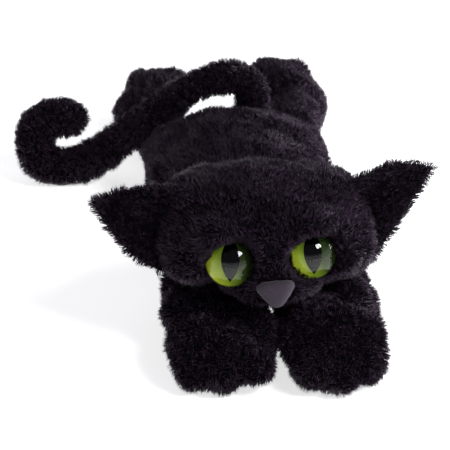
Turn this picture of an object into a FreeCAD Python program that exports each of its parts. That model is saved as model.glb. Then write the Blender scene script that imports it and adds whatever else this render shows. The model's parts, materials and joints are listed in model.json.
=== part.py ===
import FreeCAD, Part
import math
import os
from FreeCAD import Vector

# Soft toy cat lying on its belly. Millimetres and degrees.
# +Z is up, the cat looks towards -Y and its own left side is +X.
# The origin is on the floor, on the flat underside of the belly.

# Fabric and play between pieces
CLOTH = 1.6            # thickness of the plush backing cloth
PLAY = 0.3             # air between pieces of one sewn part
CLEAR = 0.8            # air between parts that turn against each other
SQUARENESS = 0.86      # 1 gives elliptic sections, less gives squarer ones
SECTION_POINTS = 16
END_ANGLES = (28, 54, 74, 86)
FAR = 300.0
FORWARDS = 270.0       # heading of the cat's front seen from above
BACKWARDS = 90.0
UPWARDS = 90.0         # heading of the tail's first stretch seen from the front

# Torso: y, half width, top
TORSO = ((-66, 16, 28), (-48, 33, 37), (-20, 45, 45), (15, 54, 51), (50, 59, 55), (74, 57, 58), (89, 45, 51))
TORSO_FRONT_ROUND = 9.0
TORSO_REAR_ROUND = 16.0
BELLY_DROP = 5.0       # how far the round section is cut away by the floor
BELLY_SEAM = 19.0
PELLET_BAG = (26, 46, 9)
PELLET_BAG_Y = 12.0
PELLET_BAG_LIFT = 1.0

# Head: y, half width, underside, top
HEAD = ((-138, 21, 39, 63), (-127, 41, 37, 80), (-112, 53, 36.8, 91), (-95, 58, 37, 96),
        (-78, 54, 39, 94), (-68, 44, 44, 87))
HEAD_FRONT_ROUND = 9.0
HEAD_REAR_ROUND = 11.0
HEAD_SEAM = -92.0
NECK_CENTRE = Vector(0, -52, 46)
NECK_RADIUS = 17.0

# Eyes and nose
EYE_SEAT = Vector(21, -127, 63)
EYE_TILT = 22.0
EYE_TURN = 7.0
EYE_RADIUS = 12.0
PLATE = 1.2
IRIS = 0.8
DOME_HEIGHT = 6.8
STEM_RADIUS = 2.5
STEM_LENGTH = 11.0
WASHER_RADIUS = 8.0
WASHER = 1.5
NOSE_WASHER_RADIUS = 5.6
NOSE_STEM_RADIUS = 2.0
NOSE_STEM_LENGTH = 7.7
LAYER_GAP = 0.1
SELECT = 0.1           # margin used when edges are picked by their place
NOSE_SEAT = Vector(1, -142.5, 51)
NOSE_TILT = 28.0
NOSE_HALF_WIDTH = 9.0
NOSE_UP = 6.0
NOSE_DOWN = 8.0
NOSE_THICKNESS = 5.0
NOSE_CORNER = 3.0

# Ears
EAR_BASE_LOW = Vector(60.5, -103, 60)
EAR_BASE_TOP = Vector(48.5, -97, 88)
EAR_OUTWARD = Vector(0.98, 0, 0.2)
EAR_START = 4.0
EAR_LENGTH = 41.0
EAR_LOW = -18.0
EAR_HIGH = 17.5
EAR_TIP_SHIFT = -3.0
EAR_TIP_ROUND = 4.0
EAR_CUP_RADIUS = 30.0
EAR_CUP_DEPTH = 54.0   # long enough to hold the whole cup

# Legs: y, centre x, half width, height. The first or last entry is at the pivot.
FORELEG_PIVOT_Y = -60.0
LEFT_FORELEG = ((-143, 31.5, 27, 36), (-114, 35, 26, 36), (-88, 34, 24, 36), (-60, 38, 18, 34))
RIGHT_FORELEG = ((-138, -21.5, 24.5, 36), (-112, -27, 25, 36), (-88, -29, 23, 36), (-60, -38, 18, 34))
PAW_ROUND = 24.0
SHOULDER_ROUND = 18.0
SHOULDER_POCKET_TOP = 70.0
HIND_LEG_PIVOT_Y = 88.0
LEFT_HIND_LEG = ((88, 38, 17, 28), (116, 43, 18, 28), (152, 52, 21.5, 32), (188, 48.5, 21.5, 43))
RIGHT_HIND_LEG = ((88, -38, 17, 28), (118, -42, 18, 28), (152, -48, 24, 31), (186, -44.5, 25.5, 39))
FOOT_ROUND = 26.0
HIP_ROUND = 17.0
HIP_POCKET_TOP = 29.5
POCKET_REACH = 45.0
SHOULDER_SWINGS = (0, 20, 40, 55)
HIP_SWINGS = (0, 15, 30, 45, 58)
LIMB_PELLETS = (14, 12, 9)
PELLET_DROP = 2.0      # how far the bag lies below the middle of the paw
TOE_THREAD = 0.7
TOE_THREAD_WIDTH = 1.0
TOE_LINES = (-0.36, 0.0, 0.36)
TOE_REACH = 17.0
TOE_THREAD_LOW = 5.0

# Tail: a flat curve in the plane y = TAIL_Y
TAIL_Y = 97.0
TAIL_ROOT = (14.0, 50.0)
TAIL_RADIUS = 10.0
TAIL_RISE = 8.0
TAIL_SHOULDER = (12.0, 90.0)
TAIL_ARCH = (55.0, 36.0)
TAIL_SLOPE = 70.5
TAIL_LAY = (42.0, 30.0)
TAIL_CURL = (18.5, 178.0)
TAIL_TIP_CURL = (12.5, 62.0)
TAIL_RIM = 5.0         # how far the socket rim stays behind a pivot
WIRE_RADIUS = 0.7



# ---------------------------------------------------------------- shared shapes

def fuse_all(shapes):
    result = shapes[0]
    for shape in shapes[1:]:
        result = result.fuse(shape)
    return result


def cut_all(shape, tools):
    for tool in tools:
        shape = shape.cut(tool)
    return shape


def slab(low, high):
    """Everything between two heights."""
    return Part.makeBox(2 * FAR, 2 * FAR, high - low, Vector(-FAR, -FAR, low))


def slab_along_y(low, high):
    """Everything between two y values."""
    return Part.makeBox(2 * FAR, high - low, 2 * FAR, Vector(-FAR, low, -FAR))


def ball(centre, radius):
    return Part.makeSphere(radius, centre)


def ellipsoid(centre, half_sizes):
    stretch = FreeCAD.Matrix()
    stretch.scale(*half_sizes)
    shape = Part.makeSphere(1.0).transformGeometry(stretch)
    shape.translate(centre)
    return shape


def signed_power(value, power):
    return math.copysign(abs(value) ** power, value)


def section_wire(y, centre_x, half_width, low, high):
    """Closed oval in a plane of constant y, a little squarer than an ellipse."""
    middle = (low + high) / 2
    half_height = (high - low) / 2
    points = []
    for step in range(SECTION_POINTS):
        angle = 2 * math.pi * step / SECTION_POINTS
        across = half_width * signed_power(math.cos(angle), SQUARENESS)
        upward = half_height * signed_power(math.sin(angle), SQUARENESS)
        points.append(Vector(centre_x + across, y, middle + upward))
    curve = Part.BSplineCurve()
    curve.interpolate(points, True)
    return Part.Wire(curve.toShape())


def end_sections(station, reach):
    """Shrinking sections that round off one end. A negative reach rounds towards -Y."""
    y, centre_x, half_width, low, high = station
    middle = (low + high) / 2
    sections = []
    for angle in END_ANGLES:
        shrink = math.cos(math.radians(angle))
        half_height = shrink * (high - low) / 2
        end_y = y + reach * math.sin(math.radians(angle))
        sections.append((end_y, centre_x, shrink * half_width, middle - half_height, middle + half_height))
    return sections


def soft_body(stations, front_round, rear_round, inset=0.0):
    """Stuffed form lofted along Y through (y, centre x, half width, low, high), shrunk by inset."""
    shrunk = []
    for y, centre_x, half_width, low, high in stations:
        shrunk.append((y, centre_x, half_width - inset, low + inset, high - inset))
    front = end_sections(shrunk[0], inset - front_round)
    rear = end_sections(shrunk[-1], rear_round - inset)
    sections = front[::-1] + shrunk + rear
    return Part.makeLoft([section_wire(*section) for section in sections], True, False)


# ---------------------------------------------------------------- legs

def leg_stations(rows):
    return [(y, centre_x, half_width, 0.0, height) for y, centre_x, half_width, height in rows]


def leg_form(rows, hind, inset=0.0):
    """Stuffed leg, pressed flat where it lies on the floor."""
    if hind:
        body = soft_body(leg_stations(rows), HIP_ROUND, FOOT_ROUND, inset)
    else:
        body = soft_body(leg_stations(rows), PAW_ROUND, SHOULDER_ROUND, inset)
    return body.cut(slab(-FAR, max(inset, 0.0)))


def toe_threads(rows, hind):
    """Stitches drawn over the front of the paw, one group of thin bands."""
    y, centre_x, half_width, height = rows[-1] if hind else rows[0]
    proud = leg_form(rows, hind, -PLAY - TOE_THREAD)
    band = proud.cut(leg_form(rows, hind, -PLAY))
    if hind:
        band = band.common(slab_along_y(y + FOOT_ROUND - TOE_REACH, FAR))
    else:
        band = band.common(slab_along_y(-FAR, y - PAW_ROUND + TOE_REACH))
    band = band.common(slab(TOE_THREAD_LOW, FAR))
    threads = []
    for line in TOE_LINES:
        left_edge = centre_x + line * half_width - TOE_THREAD_WIDTH / 2
        strip = Part.makeBox(TOE_THREAD_WIDTH, 2 * FAR, 2 * FAR, Vector(left_edge, -FAR, -FAR))
        threads.extend(band.common(strip).Solids)
    return Part.makeCompound(threads)


def leg(prefix, rows, hind):
    """Cover, stuffing, pellet bag and toe stitches of one leg."""
    y, centre_x, half_width, height = rows[-1] if hind else rows[0]
    pellet_centre = Vector(centre_x, y, height / 2 - PELLET_DROP)
    pellets = ellipsoid(pellet_centre, LIMB_PELLETS)
    pellet_room = ellipsoid(pellet_centre, [size + PLAY for size in LIMB_PELLETS])
    return {
        prefix + "_cover": leg_form(rows, hind).cut(leg_form(rows, hind, CLOTH)),
        prefix + "_stuffing": leg_form(rows, hind, CLOTH + PLAY).cut(pellet_room),
        prefix + "_pellets": pellets,
        prefix + "_toe_threads": toe_threads(rows, hind),
    }


def swing_pocket(pivot_x, pivot_y, radius, top, headings):
    """Room for the round end of a leg, and the start of the leg over its whole swing."""
    bottom = -BELLY_DROP
    pieces = [Part.makeCylinder(radius, top - bottom, Vector(pivot_x, pivot_y, bottom))]
    for heading in headings:
        slot = Part.makeBox(POCKET_REACH, 2 * radius, top - bottom, Vector(0, -radius, bottom))
        slot.rotate(Vector(0, 0, 0), Vector(0, 0, 1), heading)
        slot.translate(Vector(pivot_x, pivot_y, 0))
        pieces.append(slot)
    return fuse_all(pieces)


def leg_pockets(grow=0.0):
    pockets = []
    for side, rows in ((1, LEFT_FORELEG), (-1, RIGHT_FORELEG)):
        headings = [FORWARDS + side * swing for swing in SHOULDER_SWINGS]
        radius = SHOULDER_ROUND + CLEAR + grow
        pockets.append(swing_pocket(rows[-1][1], rows[-1][0], radius, SHOULDER_POCKET_TOP, headings))
    for side, rows in ((1, LEFT_HIND_LEG), (-1, RIGHT_HIND_LEG)):
        headings = [BACKWARDS - side * swing for swing in HIP_SWINGS]
        radius = HIP_ROUND + CLEAR + grow
        pockets.append(swing_pocket(rows[0][1], rows[0][0], radius, HIP_POCKET_TOP + grow, headings))
    return pockets


# ---------------------------------------------------------------- torso and neck

def torso_form(inset=0.0):
    stations = [(y, 0.0, half_width, -BELLY_DROP, top) for y, half_width, top in TORSO]
    body = soft_body(stations, TORSO_FRONT_ROUND, TORSO_REAR_ROUND, inset)
    sockets = leg_pockets(inset)
    sockets.append(ball(NECK_CENTRE, NECK_RADIUS + CLEAR + inset))
    sockets.append(ball(tail_point(TAIL_ROOT), TAIL_RADIUS + CLEAR + inset))
    sockets.append(slab(-FAR, inset))
    return cut_all(body, sockets)


def torso():
    cover = torso_form().cut(torso_form(CLOTH))
    bag_centre = Vector(0, PELLET_BAG_Y, CLOTH + 2 * PLAY + PELLET_BAG[2] + PELLET_BAG_LIFT)
    pellets = ellipsoid(bag_centre, PELLET_BAG)
    room = ellipsoid(bag_centre, [size + PLAY for size in PELLET_BAG])
    return {
        "torso_back_cover": cover.common(slab(BELLY_SEAM + PLAY, FAR)),
        "torso_belly_cover": cover.common(slab(-FAR, BELLY_SEAM)),
        "torso_stuffing": torso_form(CLOTH + PLAY).cut(room),
        "belly_pellets": pellets,
    }


def neck():
    return {
        "neck_sleeve": ball(NECK_CENTRE, NECK_RADIUS).cut(ball(NECK_CENTRE, NECK_RADIUS - CLOTH)),
        "neck_stuffing": ball(NECK_CENTRE, NECK_RADIUS - CLOTH - PLAY),
    }


# ---------------------------------------------------------------- face

def on_face(shape, seat, tilt, turn):
    """Moves a shape built along +Z so that +Z looks out of the face, up by tilt, out by turn."""
    origin = Vector(0, 0, 0)
    shape.rotate(origin, Vector(1, 0, 0), 90 - tilt)
    shape.rotate(origin, Vector(0, 0, 1), turn)
    shape.translate(seat)
    return shape


def mirrored(shape):
    return shape.mirror(Vector(0, 0, 0), Vector(1, 0, 0))


def disc(radius, low, high):
    return Part.makeCylinder(radius, high - low, Vector(0, 0, low))


def eye_parts():
    """Left eye: clear dome, painted iris disc, plate with stem, and the washer behind the cloth."""
    iris_low = PLATE + LAYER_GAP
    dome_low = iris_low + IRIS + LAYER_GAP
    dome_radius = (EYE_RADIUS ** 2 + DOME_HEIGHT ** 2) / (2 * DOME_HEIGHT)
    dome = ball(Vector(0, 0, dome_low + DOME_HEIGHT - dome_radius), dome_radius)
    washer_top = -CLOTH - LAYER_GAP
    ring = disc(WASHER_RADIUS, washer_top - WASHER, washer_top)
    return {
        "eye_dome": dome.common(slab(dome_low, FAR)),
        "iris_disc": disc(EYE_RADIUS - PLAY, iris_low, iris_low + IRIS),
        "eye_stem": disc(EYE_RADIUS, 0, PLATE).fuse(disc(STEM_RADIUS, -STEM_LENGTH, 0)).removeSplitter(),
        "eye_washer": ring.cut(disc(STEM_RADIUS + LAYER_GAP, -STEM_LENGTH, 0)),
    }


def nose_outline(grow):
    """Rounded triangle, point down."""
    corners = [Vector(-NOSE_HALF_WIDTH - grow, NOSE_UP + grow, 0),
               Vector(0, -NOSE_DOWN - grow, 0),
               Vector(NOSE_HALF_WIDTH + grow, NOSE_UP + grow, 0)]
    face = Part.Face(Part.makePolygon(corners + corners[:1]))
    prism = face.extrude(Vector(0, 0, NOSE_THICKNESS + 2 * grow))
    upright = [edge for edge in prism.Edges if abs(edge.Vertexes[0].Z - edge.Vertexes[1].Z) > SELECT]
    return prism.makeFillet(NOSE_CORNER, upright)


def nose_parts():
    pad = nose_outline(0.0)
    front = [edge for edge in pad.Edges if min(vertex.Z for vertex in edge.Vertexes) > NOSE_THICKNESS - SELECT]
    pad = pad.makeFillet(NOSE_CORNER / 2, front)
    washer_top = -CLOTH - LAYER_GAP
    ring = disc(NOSE_WASHER_RADIUS, washer_top - WASHER, washer_top)
    return {
        "nose": pad.fuse(disc(NOSE_STEM_RADIUS, -NOSE_STEM_LENGTH, 0)).removeSplitter(),
        "nose_washer": ring.cut(disc(NOSE_STEM_RADIUS + LAYER_GAP, -STEM_LENGTH, 0)),
    }


def eye_seat(grow):
    """Space in front of the cloth for one eye. Growing it moves its floor inwards."""
    return disc(EYE_RADIUS + PLAY + grow, -grow, 2 * EYE_RADIUS)


def nose_seat(grow):
    pad = nose_outline(PLAY + grow)
    pad.translate(Vector(0, 0, -grow))
    return pad.fuse(disc(NOSE_DOWN + PLAY + grow, NOSE_THICKNESS / 2, 2 * EYE_RADIUS))


def stem_hole():
    return disc(STEM_RADIUS + 2 * LAYER_GAP, -STEM_LENGTH - PLAY, EYE_RADIUS)


def washer_room():
    return disc(WASHER_RADIUS + PLAY, -CLOTH - LAYER_GAP - WASHER - PLAY, 0)


def at_eye(shape):
    return on_face(shape, EYE_SEAT, EYE_TILT, EYE_TURN)


def at_nose(shape):
    return on_face(shape, NOSE_SEAT, NOSE_TILT, 0.0)


def face_tools(inset):
    """What the eyes, the nose and the neck take out of the head at a given depth."""
    tools = []
    for part in (eye_seat(inset), stem_hole()):
        tools.append(at_eye(part))
        tools.append(mirrored(tools[-1]))
    tools.append(at_nose(nose_seat(inset)))
    tools.append(at_nose(stem_hole()))
    tools.append(ball(NECK_CENTRE, NECK_RADIUS + CLEAR + inset))
    return tools


def head_form(inset=0.0):
    stations = [(y, 0.0, half_width, low, high) for y, half_width, low, high in HEAD]
    body = soft_body(stations, HEAD_FRONT_ROUND, HEAD_REAR_ROUND, inset)
    return cut_all(body, face_tools(inset))


def head():
    cover = head_form().cut(head_form(CLOTH))
    rooms = [at_eye(washer_room()), mirrored(at_eye(washer_room())), at_nose(washer_room())]
    nodes = {
        "head_face_cover": cover.common(slab_along_y(-FAR, HEAD_SEAM)),
        "head_back_cover": cover.common(slab_along_y(HEAD_SEAM + PLAY, FAR)),
        "head_stuffing": cut_all(head_form(CLOTH + PLAY), rooms),
    }
    for name, shape in eye_parts().items():
        nodes["left_" + name] = at_eye(shape)
        nodes["right_" + name] = mirrored(nodes["left_" + name])
    for name, shape in nose_parts().items():
        nodes[name] = at_nose(shape)
    return nodes


# ---------------------------------------------------------------- ears

def ear_placement():
    """Local X runs out to the tip, local Y up the sewn edge, local Z to the front."""
    up = (EAR_BASE_TOP - EAR_BASE_LOW).normalize()
    front = EAR_OUTWARD.cross(up).normalize()
    out = up.cross(front)
    base = (EAR_BASE_LOW + EAR_BASE_TOP) / 2
    return FreeCAD.Matrix(out.x, up.x, front.x, base.x,
                          out.y, up.y, front.y, base.y,
                          out.z, up.z, front.z, base.z,
                          0, 0, 0, 1)


def ear_panel(inner_radius, outer_radius):
    corners = [Vector(EAR_START, EAR_LOW, -EAR_CUP_RADIUS),
               Vector(EAR_LENGTH, EAR_TIP_SHIFT, -EAR_CUP_RADIUS),
               Vector(EAR_START, EAR_HIGH, -EAR_CUP_RADIUS)]
    face = Part.Face(Part.makePolygon(corners + corners[:1]))
    prism = face.extrude(Vector(0, 0, EAR_CUP_DEPTH))
    tip = [edge for edge in prism.Edges
           if min(vertex.X for vertex in edge.Vertexes) > EAR_LENGTH - SELECT]
    prism = prism.makeFillet(EAR_TIP_ROUND, tip)
    axis_start = Vector(-EAR_LENGTH, 0, EAR_CUP_RADIUS)
    along = Vector(1, 0, 0)
    shell = Part.makeCylinder(outer_radius, FAR, axis_start, along)
    shell = shell.cut(Part.makeCylinder(inner_radius, FAR, axis_start, along))
    return prism.common(shell).transformGeometry(ear_placement())


def ears():
    back = ear_panel(EAR_CUP_RADIUS, EAR_CUP_RADIUS + CLOTH)
    front = ear_panel(EAR_CUP_RADIUS - PLAY - CLOTH, EAR_CUP_RADIUS - PLAY)
    return {
        "left_ear_back_panel": back,
        "left_ear_front_panel": front,
        "right_ear_back_panel": mirrored(back),
        "right_ear_front_panel": mirrored(front),
    }


# ---------------------------------------------------------------- tail

def tail_point(flat):
    return Vector(flat[0], TAIL_Y, flat[1])


def tube_piece(start, heading, length, radius):
    """Straight stretch from start, along heading in the XZ plane. Returns solid, end, heading."""
    direction = (math.cos(math.radians(heading)), math.sin(math.radians(heading)))
    end = (start[0] + length * direction[0], start[1] + length * direction[1])
    axis = Vector(direction[0], 0, direction[1])
    return Part.makeCylinder(radius, length, tail_point(start), axis), end, heading


def tube_bend(start, heading, bend, turn, radius):
    """Bend of radius bend. A positive turn goes anticlockwise seen from the front."""
    side = math.copysign(1.0, turn)
    normal = math.radians(heading + side * 90)
    centre = (start[0] + bend * math.cos(normal), start[1] + bend * math.sin(normal))
    direction = Vector(math.cos(math.radians(heading)), 0, math.sin(math.radians(heading)))
    circle = Part.Circle(tail_point(start), direction, radius)
    disc_face = Part.Face(Part.Wire(circle.toShape()))
    solid = disc_face.revolve(tail_point(centre), Vector(0, -1, 0), turn)
    back = math.radians(heading - side * 90 + turn)
    end = (centre[0] + bend * math.cos(back), centre[1] + bend * math.sin(back))
    return solid, end, heading + turn


def run_tube(start, heading, steps, radius):
    """Tube through steps: ("line", length) or ("bend", bend radius, turn)."""
    pieces = []
    for step in steps:
        if step[0] == "line":
            piece, start, heading = tube_piece(start, heading, step[1], radius)
        else:
            piece, start, heading = tube_bend(start, heading, step[1], step[2], radius)
        pieces.append(piece)
    return fuse_all(pieces).removeSplitter(), start, heading


def tail_runs():
    """The three stretches of the tail between its pivots."""
    base = [("line", TAIL_RISE), ("bend", *TAIL_SHOULDER), ("bend", *TAIL_ARCH)]
    middle = [("line", TAIL_SLOPE)]
    curl = [("bend", TAIL_LAY[0], -TAIL_LAY[1]), ("bend", TAIL_CURL[0], -TAIL_CURL[1]),
            ("bend", TAIL_TIP_CURL[0], -TAIL_TIP_CURL[1])]
    return (("tail_base", base), ("tail_middle", middle), ("tail_curl", curl))


def tail_segment(start, heading, steps, radius, rim_inset):
    """Round-nosed tube. Every stretch starts in a ball at its pivot; the next ball cuts its end."""
    tube, end, end_heading = run_tube(start, heading, steps, radius)
    solid = tube.fuse(ball(tail_point(start), radius))
    if rim_inset is None:
        return solid.fuse(ball(tail_point(end), radius)), end, end_heading
    direction = Vector(math.cos(math.radians(end_heading)), 0, math.sin(math.radians(end_heading)))
    rim_start = tail_point(end) - direction * (TAIL_RIM + rim_inset)
    keep_out = Part.makeCylinder(2 * TAIL_RADIUS, 2 * TAIL_RADIUS, rim_start, direction)
    socket = ball(tail_point(end), TAIL_RADIUS + CLEAR + rim_inset)
    return solid.cut(keep_out).cut(socket), end, end_heading


def tail():
    nodes = {}
    start = TAIL_ROOT
    heading = UPWARDS
    for name, steps in tail_runs():
        last = name == "tail_curl"
        forms = []
        for inset in (0.0, CLOTH, CLOTH + PLAY):
            rim_inset = None if last else inset
            form, end, end_heading = tail_segment(start, heading, steps, TAIL_RADIUS - inset, rim_inset)
            forms.append(form)
        wire, wire_end, wire_heading = run_tube(start, heading, steps, WIRE_RADIUS)
        wire_room = run_tube(start, heading, steps, WIRE_RADIUS + PLAY)[0]
        if not last:
            wire = wire.common(forms[2])
        nodes[name + "_cover"] = forms[0].cut(forms[1])
        nodes[name + "_stuffing"] = forms[2].cut(wire_room)
        nodes[name + "_wire"] = wire
        start = end
        heading = end_heading
    return nodes


# ---------------------------------------------------------------- export

def build_nodes():
    nodes = {}
    nodes.update(torso())
    nodes.update(neck())
    nodes.update(head())
    nodes.update(ears())
    nodes.update(leg("left_foreleg", LEFT_FORELEG, False))
    nodes.update(leg("right_foreleg", RIGHT_FORELEG, False))
    nodes.update(leg("left_hind_leg", LEFT_HIND_LEG, True))
    nodes.update(leg("right_hind_leg", RIGHT_HIND_LEG, True))
    nodes.update(tail())
    return nodes


os.makedirs("parts", exist_ok=True)
for node_name, node_shape in build_nodes().items():
    node_shape.exportStep(os.path.join("parts", node_name + ".step"))
    box = node_shape.optimalBoundingBox()
    print(node_name, node_shape.isValid(), len(node_shape.Solids), round(node_shape.Volume, 1),
          "x %.1f %.1f y %.1f %.1f z %.1f %.1f" % (box.XMin, box.XMax, box.YMin, box.YMax, box.ZMin, box.ZMax))
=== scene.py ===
"""Looks of a soft toy cat: sewn skins, real pile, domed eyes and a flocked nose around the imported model."""
import json
import math
import bmesh
import bpy
import numpy as np
from mathutils import Matrix, Vector
from mathutils.bvhtree import BVHTree
from mathutils.kdtree import KDTree


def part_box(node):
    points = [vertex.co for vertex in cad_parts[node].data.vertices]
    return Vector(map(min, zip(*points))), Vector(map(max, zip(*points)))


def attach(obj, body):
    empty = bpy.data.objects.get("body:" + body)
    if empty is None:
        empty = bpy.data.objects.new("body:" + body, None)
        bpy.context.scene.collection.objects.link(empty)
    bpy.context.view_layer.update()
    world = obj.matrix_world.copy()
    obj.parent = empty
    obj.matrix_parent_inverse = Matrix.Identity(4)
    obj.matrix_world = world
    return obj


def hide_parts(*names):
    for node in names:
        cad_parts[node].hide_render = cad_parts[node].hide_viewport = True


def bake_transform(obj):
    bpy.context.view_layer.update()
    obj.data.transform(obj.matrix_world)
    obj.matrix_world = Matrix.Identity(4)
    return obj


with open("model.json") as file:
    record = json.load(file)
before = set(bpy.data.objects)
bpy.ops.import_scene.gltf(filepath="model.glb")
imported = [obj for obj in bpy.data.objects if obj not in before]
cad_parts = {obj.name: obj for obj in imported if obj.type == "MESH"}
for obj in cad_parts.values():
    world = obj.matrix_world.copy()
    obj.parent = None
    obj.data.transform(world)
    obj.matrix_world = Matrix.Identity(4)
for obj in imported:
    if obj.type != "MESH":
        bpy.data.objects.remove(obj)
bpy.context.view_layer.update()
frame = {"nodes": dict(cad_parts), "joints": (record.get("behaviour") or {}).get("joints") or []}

MM = 0.001
FLOOR_Z = 0.0
SEED = 7

# Skins: the cloth that carries the pile lies this far inside the outer form of the toy.
SKIN_INSET = 3.6 * MM
SKIN_VOXEL = 3.6 * MM
SKIN_SMOOTHING = 3
SKIN_LOWEST = 1.0 * MM
PUFF_FRAMES = 18
PUFF_LIMIT = 1.3 * MM
LUMP_HEIGHT = 1.1 * MM
LUMP_SIZE = 13 * MM

# Pile
PILE_LENGTH = 5.6 * MM
PILE_WIDTH = 0.25 * MM
PILE_PER_SQUARE_MM = 1.7
PILE_ROOT_DEPTH = 0.6 * MM
PILE_LOWEST = 0.15 * MM
PILE_SHORTEST = 0.4 * MM
PILE_CHUNK = 19000       # strands in one piece
TUFT_SHARE = 0.045       # strands that others lean on
DRIFT_SIZE = 11 * MM
MIDDLE_ALONG_ROOT = 0.416
MIDDLE_ALONG_TIP = 0.16

# Paws: places across the foot as shares of its half width
TOE_PLACES = (-0.62, -0.02, 0.56)
FORELEG_TOE_ENDS = (-0.78, -0.82, -0.76)
STITCH_PLACES = (-0.32, 0.27)
STITCH_RADIUS = 0.45 * MM
STITCH_ANGLES = (4, 74)
STITCH_POINTS = 15

# Tail: radii of its bends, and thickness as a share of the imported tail
TAIL_SHOULDER_RADIUS = 12 * MM
TAIL_ARCH_RADIUS = 55 * MM
TAIL_LAY_RADIUS = 42 * MM
TAIL_LAY_END = 6.0
TAIL_TIP_CURL_SHARE = 0.66
TAIL_TIP_TURN = 75
TAIL_ARCH_SHARE = 0.72
TAIL_CURL_SHARE = 0.92
TAIL_ROOT_FLARE = 0.16
TAIL_LUMP_SIZE = 20 * MM
TAIL_SIDES = 20
TAIL_STEP = 2.0 * MM
TAIL_CURL_WAY = (-0.95, 0.0, 0.3)

# Ears
EAR_OUTWARD = Vector((0.98, 0.0, 0.2))
EAR_ROWS = 26
EAR_COLUMNS = 24
EAR_BACK = 2.2 * MM
EAR_FRONT = 1.4 * MM
EAR_CUP_RADIUS = 18 * MM
EAR_INTO_HEAD = 9 * MM
EAR_RIM_THICKNESS = 0.15
LINING_SHARE = 0.68
LINING_END = 0.80

# Face. Shares are of the eye's radius.
EYE_TILT = 22.0
EYE_TURN = 7.0
EYE_SCALE = 1.07
EYE_DOME_SHARE = 0.56
EYE_RIM = 0.6 * MM
IRIS_SHARE = 0.985
LEFT_EYE_SHIFT = (0.0, 0.6 * MM, 0.0)
RIGHT_EYE_SHIFT = (0.9 * MM, -1.4 * MM, 0.0)
PUPIL_HALF_WIDTH = 0.33
PUPIL_HALF_HEIGHT = 0.82
PUPIL_RAISE = 0.10
HOLLOW_REACH = 1.5
HOLLOW_EDGE = 0.4
HOLLOW_DEPTH = 1.2 * MM
HOLLOW_REGION_DEPTH = 12 * MM
EYE_REGION_DEPTH = 14 * MM
BROW_HEIGHT = 7.2 * MM
BROW_LEAN = (100.0, 122.0)
BROW_PLACE = 1.16
BROW_THICKNESS = 0.36
BROW_HALF_LENGTH = 0.95
BROW_HANG = 0.45
NOSE_TILT = 28.0
NOSE_ROLL = 4.0
NOSE_SEAT_DEPTH = 4.2 * MM
NOSE_SEAT_HEIGHT = 0.58
NOSE_HALF_WIDTH = 8.9 * MM
NOSE_HEIGHT = 13.2 * MM
NOSE_THICKNESS = 5.0 * MM
NOSE_REGION_DEPTH = 12 * MM

# Camera and studio
CAMERA_AT = (-0.0765, -0.739, 0.4089)
CAMERA_LOOKS_AT = (-0.0223, -0.1202, 0.0786)
CAMERA_LENS_MM = 112.0
FLOOR_GLOW = 0.70
FLOOR_REACH = 6.0
LIGHTS = (
    ("key", (0.54, -0.56, 0.78), (0, -0.05, 0.04), (0.36, 0.30), 7.5),
    ("top", (0.0, 0.45, 1.5), (0, 0.0, 0.0), (2.4, 1.6), 3.0),
    ("right rim", (1.0, 0.25, 0.22), (0, 0.0, 0.04), (0.5, 0.3), 12.5),
    ("left rim", (-0.95, 0.65, 0.22), (0, 0.0, 0.04), (0.5, 0.3), 3.0),
)


# ---------------------------------------------------------------- places from the frame

def corners(*nodes):
    """Lowest and highest corner of several nodes together."""
    boxes = [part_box(node) for node in nodes]
    low = np.min([np.array(box[0]) for box in boxes], axis=0)
    high = np.max([np.array(box[1]) for box in boxes], axis=0)
    return low, high


def joint(name):
    for entry in frame["joints"]:
        if entry["name"] == name:
            return Vector(entry["pos_m"]), Vector(entry["axis"]).normalized()
    raise ValueError(name)


class Room:
    """Box of a sewn part. Places and sizes inside it are shares of its half sizes."""

    def __init__(self, *nodes, side=1):
        low, high = corners(*nodes)
        self.centre = (low + high) / 2
        self.half = (high - low) / 2 - SKIN_INSET
        self.side = side

    def place(self, x, y, z):
        return Vector(self.centre + np.array([self.side * x, y, z]) * self.half)

    def size(self, x, y, z):
        return Vector(np.array([x, y, z]) * self.half)


# ---------------------------------------------------------------- mesh helpers

def add_object(name, mesh):
    piece = bpy.data.objects.new(name, mesh)
    bpy.context.scene.collection.objects.link(piece)
    return piece


def mesh_from(vertices, faces, smooth=True):
    mesh = bpy.data.meshes.new("mesh")
    mesh.from_pydata([tuple(vertex) for vertex in vertices], [], faces)
    mesh.polygons.foreach_set("use_smooth", [smooth] * len(mesh.polygons))
    mesh.update()
    return mesh


def coordinates(mesh):
    flat = np.empty(len(mesh.vertices) * 3, dtype=np.float32)
    mesh.vertices.foreach_get("co", flat)
    return flat.reshape(-1, 3).astype(float)


def set_coordinates(mesh, points):
    mesh.vertices.foreach_set("co", np.asarray(points, dtype=np.float32).ravel())
    mesh.update()


def moved(points, matrix):
    """Points moved by a 4 by 4 matrix."""
    return points @ matrix[:3, :3].T + matrix[:3, 3]


def face_outwards(mesh):
    shape = bmesh.new()
    shape.from_mesh(mesh)
    bmesh.ops.remove_doubles(shape, verts=shape.verts, dist=0.02 * MM)
    bmesh.ops.recalc_face_normals(shape, faces=shape.faces)
    shape.to_mesh(mesh)
    shape.free()


def baked_copy(piece):
    """Mesh of a piece with its modifiers applied."""
    depsgraph = bpy.context.evaluated_depsgraph_get()
    return bpy.data.meshes.new_from_object(piece.evaluated_get(depsgraph))


def finish_modifiers(piece):
    mesh = baked_copy(piece)
    piece.modifiers.clear()
    piece.data = mesh
    mesh.polygons.foreach_set("use_smooth", [True] * len(mesh.polygons))
    return piece


# ---------------------------------------------------------------- skins

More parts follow.
